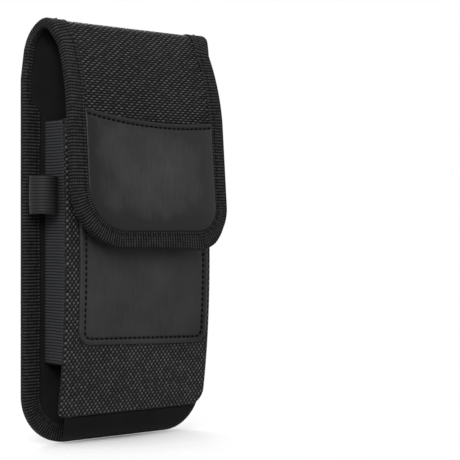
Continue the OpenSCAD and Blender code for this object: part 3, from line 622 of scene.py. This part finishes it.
def shell_bump(x, s, e):
    """Slow waves, with a raised band sewn across the back at each end of the belt loop."""
    up = sum(np.tanh((s - a) / .3) - np.tanh((s - b) / .3) for a, b in BANDS) / 2
    dip = sum(np.exp(-((s - a - k) / .3) ** 2) for a, b in BANDS for k in (BAND_SEAM, b - a - BAND_SEAM))
    return shell_wave(x, s, e) + .32 * up - .2 * dip


strip_sides = strip_rows(1.2)
shell = slab("shell_cloth", strip_point, *strip_sides, 60, 0.0, -CLOTH_T, .5, bump=shell_bump)
dress(shell, NYLON, "outer_shell")
inner = slab("lining_cloth", strip_point, *strip_sides, 50, CLOTH_T - STRIP_T, -STRIP_T, .5)
dress(inner, LINING, "inner_lining")


# Ribbed tape round the strip's edge
def strip_outline():
    """Closed outline in (x, s), anticlockwise as seen from outside the back panel."""
    a = np.linspace(0, math.pi / 2, 40)
    cr, pen, plain = BACK_CR, PEN_CR, PLAIN_CR
    cx, px, qx = BACK_HW - cr, pen - FLAP_HW, FLAP_HW - plain
    pts = [(x, 0) for x in np.linspace(0, cx, 8)]
    pts += [(cx + cr * math.sin(t), cr - cr * math.cos(t)) for t in a[1:]]
    up = np.concatenate([np.linspace(cr, BACK_END, 60)[1:], np.linspace(BACK_END, WIDE_END, 90)[1:]])
    z = strip(up)[1]
    half = np.where(up > CREST_END, flap_half(z), back_half(z))
    pts += list(zip(half, up))
    z = np.linspace(BEND_Z, FLAP_Z + plain, 40)[1:]
    pts += list(zip(flap_half(z), flap_s(z)))
    pts += [(qx + plain * math.cos(t), float(flap_s(FLAP_Z + plain - plain * math.sin(t)))) for t in a[1:]]
    pts += [(x, STRIP_END) for x in np.linspace(qx, px, 20)[1:]]
    pts += [(px - pen * math.sin(t), float(flap_s(FLAP_Z + pen - pen * math.cos(t)))) for t in a[1:]]
    z = np.linspace(FLAP_Z + pen, BEND_Z, 40)[1:]
    pts += list(zip(-flap_half(z), flap_s(z)))
    pts += list(zip(-half[::-1], up[::-1]))[1:]
    pts += [(-cx - cr * math.cos(t), cr - cr * math.sin(t)) for t in a[1:]]
    pts += [(x, 0) for x in np.linspace(-cx, 0, 8)[1:-1]]
    return np.array([(float(p), float(q)) for p, q in pts])


def ring(p):
    """A closed line's points, with the first again at the end."""
    return np.concatenate([p, p[:1]])


def resample(p, step):
    q = ring(p)
    s = np.concatenate([[0], np.cumsum(np.hypot(*np.diff(q, axis=0).T))])
    t = np.linspace(0, s[-1], int(round(s[-1] / step)), endpoint=False)
    return np.stack([np.interp(t, s, q[:, 0]), np.interp(t, s, q[:, 1])], -1), s[-1]


def smoothed(v, n):
    k = np.ones(n) / n
    return np.stack([np.convolve(np.concatenate([v[-n:, i], v[:, i], v[:n, i]]), k, "same")[n:-n]
                     for i in range(v.shape[1])], -1)


path, path_len = resample(strip_outline(), RIB_PITCH / 5)
ribs = round(path_len / RIB_PITCH)
tan = np.roll(path, -1, 0) - np.roll(path, 1, 0)
tan = smoothed(tan / np.hypot(*tan.T)[:, None], 15)
tan /= np.hypot(*tan.T)[:, None]
inward = np.stack([-tan[:, 1], tan[:, 0]], -1)
run = np.arange(len(path)) / len(path) * path_len
rib = np.abs(np.cos(math.pi * ribs * run / path_len)) ** .7
wave = .12 * np.sin(run / 11.0) + .1 * np.sin(run / 4.3 + 1)
# where the strip is above the mouth, the tape's inner leg is narrow
covered = np.clip((strip(path[:, 1])[1] - MOUTH_Z - 3) / 7, 0, 1)
covered = covered * covered * (3 - 2 * covered)
# the tape spreads where it goes over the crest
wide = 2.4 * np.exp(-((path[:, 1] - CREST_END) / 13) ** 2)
# and stands out a little more under the flap's plain corner
spill = 1.3 * np.exp(-((path[:, 0] - 31) / 17) ** 2) * np.clip((path[:, 1] - STRIP_END + 9) / 6, 0, 1)


def tape_at(e, d):
    """Points e in from the edge and d out of the outer face, all along the tape."""
    x = path[:, 0] + inward[:, 0] * e
    s = path[:, 1] + inward[:, 1] * e
    return strip_point(x, s, d)


def tape_section():
    """(e, d, how much of the rib shows) round the strip's edge, from face to lining."""
    w, t, r, lo = TAPE_W, TAPE_T, TAPE_ROUND, -STRIP_T - TAPE_T
    out = [(w, -.06, 0), (w, .3, .2), (w - .35, t - .12, .6), (w - .9, t - .2, .8)]
    out += [(e, t - .2, 1) for e in (TAPE_SEAM, 5.1, 4.2, 3.2, 2.2)]
    turn = np.linspace(.15, math.pi / 2, 5)
    out += [(r - r * math.sin(a), t - .15 - r + r * math.cos(a), 1) for a in turn]
    out += [(r - r * math.sin(a), lo + .15 + r - r * math.cos(a), 1) for a in turn[::-1]]
    out += [(e, lo + .2, 1) for e in (2.2, 3.4, 4.6, TAPE_SEAM)]
    out += [(w - .9, lo + .2, .8), (w - .35, lo + .12, .6), (w, -STRIP_T - .3, .2), (w, -STRIP_T + .06, 0)]
    return out


def tape_column(section, i):
    """The line along the whole tape through point i of its section."""
    e, d, show = section[i]
    p, q = section[max(i - 1, 0)], section[min(i + 1, len(section) - 1)]
    te, td = q[0] - p[0], q[1] - p[1]
    ne, nd = td / math.hypot(te, td), -te / math.hypot(te, td)
    groove = -.16 * math.exp(-((e - TAPE_SEAM) / .35) ** 2) if abs(nd) > .5 else 0
    rise = show * .1 * (rib - .55) + groove
    sway = (wave if e > 3 else 0 * wave) + (wide if d > 0 else 0)
    place = e + ne * rise + sway * (e / TAPE_W) - spill * (1 - e / TAPE_W)
    if d < -STRIP_T + .1 and e > TAPE_ROUND:
        narrow = (FOLD_TAPE_W - TAPE_ROUND) / (TAPE_W - TAPE_ROUND)
        place = place + covered * (TAPE_ROUND + (e - TAPE_ROUND) * narrow - e)
    return tape_at(place, d + nd * rise)


def tape_mesh(name):
    section = tape_section()
    columns = np.stack([tape_column(section, i) for i in range(len(section))], 1)
    n, c = columns.shape[:2]
    faces = grid_faces(n, c)
    faces += [((n - 1) * c + k, (n - 1) * c + k + 1, k + 1, k) for k in range(c - 1)]
    across = np.concatenate([[0], np.cumsum(np.hypot(*np.diff(np.array(section)[:, :2], axis=0).T))])
    uv = np.stack(np.broadcast_arrays(across[None], run[:, None]), -1).reshape(-1, 2)
    return outward(mesh(name, world(columns.reshape(-1, 3)), faces, uv / 1000))


def tape_material():
    """Ribs across the tape, one a RIB_PITCH all round, their crests a painted highlight and the hollows
    between them painted shade.
    """
    m, g, b = material("tape_ribs", grey(.03), .65, .06)
    u, v = g.uv()
    s = g.ridges(v, path_len / ribs, "COSINE")
    # each rib is crossed by darker warp threads, and no two ribs are quite alike
    lit = g.times(g.power(s, 1.6), g.math("MULTIPLY_ADD", g.ridges(u, 1.15), .4, .62))
    lit = g.times(lit, g.math("MULTIPLY_ADD", g.noise(420, 3, .7), 1.5, .25))
    # painted highlight on each rib's crest, painted shade between the ribs
    g.put(b.inputs["Base Color"], g.ramp(lit, [(0, grey(.0015)), (.45, grey(.007)), (1, grey(.045))]))
    g.put(b.inputs["Normal"], g.bump(g.ridges(u, .7), .00012, .6))
    return m


dress(tape_mesh("binding_tape"), tape_material(), "edge_binding")

seam_d = TAPE_T - .18
_, _, ny, nz = strip(path[:, 1] + inward[:, 1] * TAPE_SEAM)
out_dir = ring(np.stack([0 * ny, ny, nz], -1))
seams = along(ring(tape_at(TAPE_SEAM, seam_d)), TAPE_STITCH, out_dir)
inner_seam = tape_at(TAPE_SEAM - covered * (TAPE_W - FOLD_TAPE_W), -STRIP_T - seam_d)
seams += along(ring(inner_seam), TAPE_STITCH, -out_dir)
dress(tubes("binding_seam", seams, .00024), TAPE_THREAD)


# Leather on the flap
def flap_leather_top(x):
    """Height of the leather's sagging upper edge."""
    return SAG_Z + SAG_R - np.sqrt(SAG_R ** 2 - (x - SAG_X) ** 2)


def flap_leather_half(z, corner):
    return rounded_half(z, LEATHER_Z, FLAP_HW - LEATHER_IN, corner - LEATHER_IN)


flap_leather_wave = soft_noise(12, .1, 11)


def flap_leather_sheet(name, cols, thick, roll):
    """Leather whose rows run from the curved upper edge down to the lower edge, the curve fading
    over the first part of the rows, LEATHER_FADE."""
    corner = np.sin(np.linspace(0, math.pi / 2, 44))[1:]
    k = np.append(np.linspace(0, LEATHER_FADE, 46), LEATHER_FADE + (1 - LEATHER_FADE) * corner)[:, None]
    middle = float(flap_leather_top(0.0))
    level = LEATHER_Z + (middle - LEATHER_Z) * (1 - k)
    xl, xr = -flap_leather_half(level, PEN_CR), flap_leather_half(level, PLAIN_CR)
    x = xl + (xr - xl) * columns_across(cols)[None]
    z = level + (flap_leather_top(x) - middle) * np.clip(1 - k / LEATHER_FADE, 0, 1)
    side = np.stack([x, z], -1)
    outline = np.concatenate([side[:, -1], side[-1, ::-1][1:-1], side[::-1, 0], side[0, 1:-1]])
    e = edge_distance(x, z, outline)
    h, q = rolled(e, roll)
    stitched = stitch_groove(flap_leather_top(x) - z - FLAP_SEAM)
    face = thick * h + (flap_leather_wave(x, z, e) + crown(e, 1.1) - stitched) * q
    return two_faces(name, strip_point, x, flap_s(z), face, -.25 * q, e)


flap_leather = flap_leather_sheet("flap_leather", 66, LEATHER_T, .7)
dress(flap_leather, LEATHER, "flap_leather_patch")
seam_x = np.linspace(-35.2, 35.2, 80)
seam_s = flap_s(flap_leather_top(seam_x) - FLAP_SEAM)
line = strip_point(seam_x, seam_s, 1.0)
stitches = along(line, LEATHER_STITCH, line - strip_point(seam_x, seam_s, 0.0))
dress(tubes("flap_patch_seam", stitches, .00042), THREAD)


# Front panel
def rounded_rows(low, high, r, n_low, n_high):
    """Heights from low to high, n_low of them in the round corners."""
    corner = low + r - r * np.cos(np.linspace(0, math.pi / 2, n_low))
    return np.concatenate([corner, np.linspace(low + r, high, n_high)[1:]])


def panel_rows(grow, n_low, n_high):
    """Rows of the front wall with their left and right ends, set out by grow."""
    low, hw = FRONT_Z - grow, FRONT_HW + grow
    rows = rounded_rows(low, MOUTH_Z - 1, FRONT_PLAIN_CR + grow, n_low, n_high)
    return (rows, -rounded_half(rows, low, hw, FRONT_PEN_CR + grow),
            rounded_half(rows, low, hw, FRONT_PLAIN_CR + grow))


front_sides = panel_rows(.3, 18, 80)
front = slab("front_cloth", front_point, *front_sides, 56, 0.05, -2.35, .9, bump=soft_noise(10, .12, 5))
dress(front, PANEL, "front_panel")
front_in_sides = panel_rows(-.2, 12, 30)
front_in = slab("front_lining_cloth", front_point, *front_in_sides, 20, -2.0, -FRONT_T, .4)
dress(front_in, LINING, "front_lining")


# Leather on the front panel
def patch_point(x, z, d):
    """A place on the front patch, whose foot isn't sewn on quite level."""
    return front_point(x, z - (.3 + .03 * x) * np.clip((110 - z) / 66, 0, 1), d)


patch_wave = soft_noise(14, .1, 21)


def patch_bump(x, z, e):
    return patch_wave(x, z, e) + crown(e, .5) - stitch_groove(e - PATCH_SEAM)


def patch_seam():
    """The seam's x and z down the pen side, along the foot and up the plain side."""
    x0, x1 = PATCH_X - PATCH_HW + PATCH_SEAM, PATCH_X + PATCH_HW - PATCH_SEAM
    foot, top, r = PATCH_Z + PATCH_SEAM, PATCH_TOP - 4, PATCH_CR - PATCH_SEAM
    turn = np.linspace(0, math.pi / 2, 8)[1:]
    pts = [(x0, z) for z in np.linspace(top, foot + r, 40)]
    pts += [(x0 + r - r * math.cos(a), foot + r - r * math.sin(a)) for a in turn]
    pts += [(x, foot) for x in np.linspace(x0 + r, x1 - r, 40)[1:]]
    pts += [(x1 - r + r * math.sin(a), foot + r - r * math.cos(a)) for a in turn]
    pts += [(x1, z) for z in np.linspace(foot + r, top, 40)[1:]]
    return np.array(pts).T


rows = rounded_rows(PATCH_Z, PATCH_TOP, PATCH_CR, 18, 70)
half = rounded_half(rows, PATCH_Z, PATCH_HW, PATCH_CR)
front_leather = slab("front_leather", patch_point, rows, PATCH_X - half, PATCH_X + half, 60,
                     LEATHER_T, -.1, .8, bump=patch_bump, lift=-.1)
dress(front_leather, FRONT_LEATHER, "front_leather_patch")
seam_x, seam_z = patch_seam()
lift = patch_point(seam_x, seam_z, 1.0) - patch_point(seam_x, seam_z, 0.0)
stitches = along(patch_point(seam_x, seam_z, .85), LEATHER_STITCH, lift)
dress(tubes("front_patch_seam", stitches, .00042), THREAD)

rows = np.linspace(MOUTH_Z - 7, MOUTH_Z + .55, 14)
half = np.full(14, FRONT_HW)
hem = slab("hem_tape", front_point, rows, -half, half, 40, .6, -FRONT_T - .6, 1.0)
dress(hem, TAPE, "mouth_hem")


# Webs at the pocket's sides and foot
def gusset(name, side, node):
    """The elastic web at one side, between the strip and the front wall."""
    rows, cols, thick = np.linspace(GUSSET_Z, MOUTH_Z, 70), 14, 1.1
    t = np.linspace(0, 1, cols)[None]
    y1 = front_point(0.0, rows, -FRONT_T)[:, 1]
    y = -STRIP_T + (y1[:, None] + STRIP_T) * t
    z = np.broadcast_to(rows[:, None], y.shape)
    sag = .7 * np.sin(math.pi * t) * np.sin(math.pi * (z - GUSSET_Z) / (MOUTH_Z - GUSSET_Z)) ** .3
    outer = np.stack([side * (GUSSET_X - sag), y, z], -1).reshape(-1, 3)
    inner = np.stack([side * (GUSSET_X - thick - sag), y, z], -1).reshape(-1, 3)
    n, k = len(rows), len(outer)
    faces = grid_faces(n, cols) + grid_faces(n, cols, k, flip=True)
    ends = [(i * cols + j, i * cols + j + cols) for i in range(n - 1) for j in (0, cols - 1)]
    ends += [(i * cols + j, i * cols + j + 1) for j in range(cols - 1) for i in (0, n - 1)]
    faces += [(a, b, b + k, a + k) for a, b in ends]
    uv = np.stack([y.ravel(), z.ravel()], -1) / 1000
    o = mesh(name, world(np.concatenate([outer, inner])), faces, np.concatenate([uv, uv]))
    dress(outward(o, SAME), ELASTIC, node)


gusset("gusset_left_cloth", -1, "side_gusset_left")
gusset("gusset_right_cloth", 1, "side_gusset_right")


def web_point(x, v, d):
    """The web across the pocket's foot, a curve of four points: v runs from under the front wall
    back to the strip's lower edge, which rises in the corners."""
    t = v / WEB_LENGTH
    past = np.clip(np.abs(x) - (BACK_HW - BACK_CR), 0, None)
    low = BACK_CR - np.sqrt(BACK_CR ** 2 - past ** 2) + .9
    foot = float(front_point(0.0, FRONT_Z, 0.0)[1])
    ys = [foot + .7, foot + 1.2, foot + 5.4, -STRIP_T - TAPE_T - .1]
    zs = [FRONT_Z - .2 + 0 * low, 7.6 + .3 * low, low + 1.0, low]
    w = [(1 - t) ** 3, 3 * t * (1 - t) ** 2, 3 * t ** 2 * (1 - t), t ** 3]
    dw = [-3 * (1 - t) ** 2, 3 * (1 - t) ** 2 - 6 * t * (1 - t), 6 * t * (1 - t) - 3 * t ** 2, 3 * t ** 2]
    y, z, dy, dz = (sum(a * b for a, b in zip(f, p)) for f, p in ((w, ys), (w, zs), (dw, ys), (dw, zs)))
    n = np.hypot(dy, dz)
    return np.stack([x, y + d * dz / n, z - d * dy / n], -1)


rows = np.linspace(0, WEB_LENGTH, 26)
half = WEB_HW - 5.5 * (rows / WEB_LENGTH) ** 1.6
web = slab("bottom_web", web_point, rows, -half, half - 2.3, 50, .0, -1.0, .5)
dress(web, DARK, "bottom_gusset")


# CAD nodes: the hard ones as they are, the soft ones as copies with soft edges
def front_uv(co):
    return co[:, [0, 2]]


def loop_uv(co):
    return np.stack([co[:, 0] + co[:, 1], co[:, 2]], -1)


def flat_uv(o, to_uv):
    co = np.array([v.co for v in o.data.vertices])
    o.data.uv_layers.active = add_uv(o.data, "flat", to_uv(co))


def cad(node, mat, angle=35):
    """Shows a node's own mesh, smooth but for edges sharper than angle."""
    o = NODES[node]
    flat_uv(o, front_uv)
    o.data.materials.clear()
    o.data.materials.append(mat)
    o.data.polygons.foreach_set("use_smooth", [True] * len(o.data.polygons))
    o.data.set_sharp_from_angle(angle=math.radians(angle))


def soft_copy(name, node, mat, edge, shape, to_uv=front_uv):
    """A node's form made soft: its edges rounded over edge mm, and its faces moved by shape, in mm."""
    b = bmesh.new()
    b.from_mesh(NODES[node].data)
    bmesh.ops.remove_doubles(b, verts=b.verts, dist=1e-6)
    bmesh.ops.dissolve_limit(b, angle_limit=math.radians(1), verts=b.verts, edges=b.edges)
    sharp = [e for e in b.edges if len(e.link_faces) == 2 and e.calc_face_angle() > math.radians(35)]
    bmesh.ops.bevel(b, geom=sharp, offset=edge / 1000, segments=3, profile=.5, affect="EDGES",
                    clamp_overlap=True)
    bmesh.ops.triangulate(b, faces=b.faces)
    for _ in range(7):
        long = [e for e in b.edges if e.calc_length() > SOFT_CELL]
        if not long:
            break
        bmesh.ops.subdivide_edges(b, edges=long, cuts=1)
        bmesh.ops.triangulate(b, faces=[f for f in b.faces if len(f.verts) > 3])
    m = bpy.data.meshes.new(name)
    b.to_mesh(m)
    b.free()
    co = np.array([v.co for v in m.vertices])
    m.vertices.foreach_set("co", (co + shape(co * 1000 + [0, SEAT_Y, SEAT_Z]) / 1000).ravel())
    o = link(name, m)
    flat_uv(o, to_uv)
    m.polygons.foreach_set("use_smooth", [True] * len(m.polygons))
    m.set_sharp_from_angle(angle=math.radians(50))
    dress(o, mat, node)


def loop_shape(p):
    """The pen loop bellies out at half its height and pulls in at its two edges."""
    side = p[:, :2] - [PEN_LOOP_X, PEN_LOOP_Y]
    side /= np.maximum(np.linalg.norm(side, axis=1), 1e-6)[:, None]
    t = (p[:, 2] - PEN_LOOP_Z) / PEN_LOOP_H
    free = np.clip((PEN_LOOP_ROOT - p[:, 0]) / 4, 0, 1)
    belly = (.28 * np.sin(math.pi * np.clip(t, 0, 1)) - .12) * free
    return np.column_stack([side * belly[:, None], .12 * np.sin(p[:, 0] / 2.1) * free])


def strap_shape(p):
    """Slight waves in the belt loop, held down where it is sewn."""
    low, high = STRAP_FREE
    free = np.sin(math.pi * np.clip((p[:, 2] - low) / (high - low), 0, 1))
    sideways = .12 * np.sin(p[:, 2] / 6.3) * p[:, 0] / STRAP_HW
    waves = .07 * np.sin(p[:, 0] / 3.3 + 1) * np.sin(p[:, 2] / 5.1) * free
    return np.column_stack([sideways, waves, .06 * np.sin(p[:, 0] / 4.0)])


def tab_shape(p):
    """The ring's tab is a little wider at some heights than at others."""
    return np.column_stack([.05 * np.sin(p[:, 2] * 2.2) * np.sign(p[:, 0]), 0 * p[:, 0], 0 * p[:, 0]])


def back_seam(x, y, z):
    """A straight row of stitches across or up the back, just proud of y. x and z are pairs of ends."""
    row = np.stack([np.linspace(*x, 12), np.full(12, y + .22), np.linspace(*z, 12)], -1)
    return along(row, BACK_STITCH, np.array([[0, 1.0, 0]] * 12))


def band_stitches():
    """Two rows along each band, at both sides of the belt loop."""
    rows = []
    for low, high in BANDS:
        for z in (low + BAND_SEAM, high - BAND_SEAM):
            for ends in ((-42.3, -18.9), (18.9, 42.3)):
                rows += back_seam(ends, 0.0, (z, z))
    return rows


def strap_stitches():
    """Two rows across each sewn end of the belt loop, and one up each side between them."""
    rows = []
    for z in (69.6, 73.2, 136.6, 140.4):
        rows += back_seam((-17, 17), STRAP_END_Y, (z, z))
    for x in (-16.4, 16.4):
        rows += back_seam((x, x), STRAP_Y, (77, 129.5))
    return rows


cad("stiffener_board", BOARD)
cad("front_board", BOARD)
soft_copy("pen_band", "pen_loop", LOOP, .22, loop_shape, loop_uv)
cad("flap_magnet", DULL)
cad("front_magnet", DULL)
soft_copy("belt_strap", "belt_loop", PANEL, .2, strap_shape)
dress(tubes("band_seam", band_stitches(), .00028), TAPE_THREAD)
dress(tubes("loop_seam", strap_stitches(), .0003), TAPE_THREAD)
cad("belt_clip", BLACK, 40)
cad("clip_rivets", BLACK, 40)
cad("rivet_washers", BRIGHT)
soft_copy("tab_webbing", "ring_tab", WEBBING, .12, tab_shape)
cad("tab_ring", BRIGHT, 60)
cad("carabiner_body", BLACK, 50)
cad("carabiner_gate", BRIGHT, 40)
cad("gate_pin", BRIGHT)
cad("gate_spring", BRIGHT)


# Floor, light and camera
def plane(name, size, z, value):
    """A floor that is pale near the object and clear farther off, so that it runs into the white."""
    m = bpy.data.meshes.new(name)
    corners = [(-size, -size, z), (size, -size, z), (size, size, z), (-size, size, z)]
    m.from_pydata(corners, [], [(0, 1, 2, 3)])
    o = link(name, m)
    mat, g, b = material(name, (value,) * 3, .9, .1)
    x, y, _ = g.split(g.place())
    far = g.math("SQRT", g.plus(g.times(x, x), g.times(y, y)))
    fade = g.fill(g.node("ShaderNodeMapRange", interpolation_type="SMOOTHSTEP"), far, -.01, .09)
    clear = g.node("ShaderNodeBsdfTransparent")
    both = g.fill(g.node("ShaderNodeMixShader"), fade, b.outputs[0], clear.outputs[0])
    g.put([n for n in g.t.nodes if n.type == "OUTPUT_MATERIAL"][0].inputs[0], both)
    m.materials.append(mat)


low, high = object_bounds()
plane("floor", .4, low.z - .0005, .95)

scene = bpy.context.scene
scene.view_settings.view_transform = "Standard"

# the camera and mirror-like surfaces see white, all else is lit by a dimmer room
scene.world = bpy.data.worlds.new("room")
scene.world.use_nodes = True
scene.world.node_tree.nodes.clear()
g = Graph(scene.world.node_tree)
rays = g.node("ShaderNodeLightPath").outputs
mirrored = g.math("MAXIMUM", rays["Is Glossy Ray"], rays["Is Transmission Ray"])
seen = g.math("MAXIMUM", rays["Is Camera Ray"], mirrored)
room, white = (g.fill(g.node("ShaderNodeBackground"), (1, 1, 1, 1), strength) for strength in (.3, 1.0))
mix = g.fill(g.node("ShaderNodeMixShader"), seen, room, white)
g.put(g.node("ShaderNodeOutputWorld").inputs[0], mix)


def area(name, place, target, size, power):
    """A square light at place that faces target."""
    d = bpy.data.lights.new(name, "AREA")
    d.shape = "RECTANGLE"
    d.size, d.size_y = size, size
    d.energy = power
    o = bpy.data.objects.new(name, d)
    o.location = place
    o.rotation_euler = (Vector(target) - Vector(place)).to_track_quat("-Z", "Y").to_euler()
    scene.collection.objects.link(o)


area("key", (-.65, -.7, .45), (0, 0, -.02), .5, 9)
area("fill", (.75, -.6, .3), (0, 0, -.03), .6, .7)
area("back", (.35, .85, .45), (0, 0, -.02), .6, 10)
area("top", (-.1, -.15, .9), (0, 0, 0), .5, 2.8)

# the camera stands DIST from a point at half the holster's height, at AZ round it, and looks YAW
# past it. Its focal length and the photo's width are in the photo's pixels.
AZ, YAW, DIST, AIM_Z = math.radians(-36.7), math.radians(4.77), .655, 94.0
FOCAL, PHOTO_W, SENSOR_W = 1408, 460, 36
aim = Vector((0, -SEAT_Y / 1000, (AIM_Z - SEAT_Z) / 1000))
back_dir = Vector((math.sin(AZ), -math.cos(AZ), 0))
right_dir = Vector((math.cos(AZ), math.sin(AZ), 0))
cam = bpy.data.cameras.new("camera")
cam.sensor_width = SENSOR_W
cam.lens = FOCAL / PHOTO_W * SENSOR_W
cam.shift_y = .0046
cam.clip_start, cam.clip_end = .02, 20
co = bpy.data.objects.new("camera", cam)
co.location = aim + back_dir * DIST
co.rotation_mode = "QUATERNION"
look = right_dir * math.sin(YAW) - back_dir * math.cos(YAW)
co.rotation_quaternion = look.to_track_quat("-Z", "Y")
scene.collection.objects.link(co)
scene.camera = co
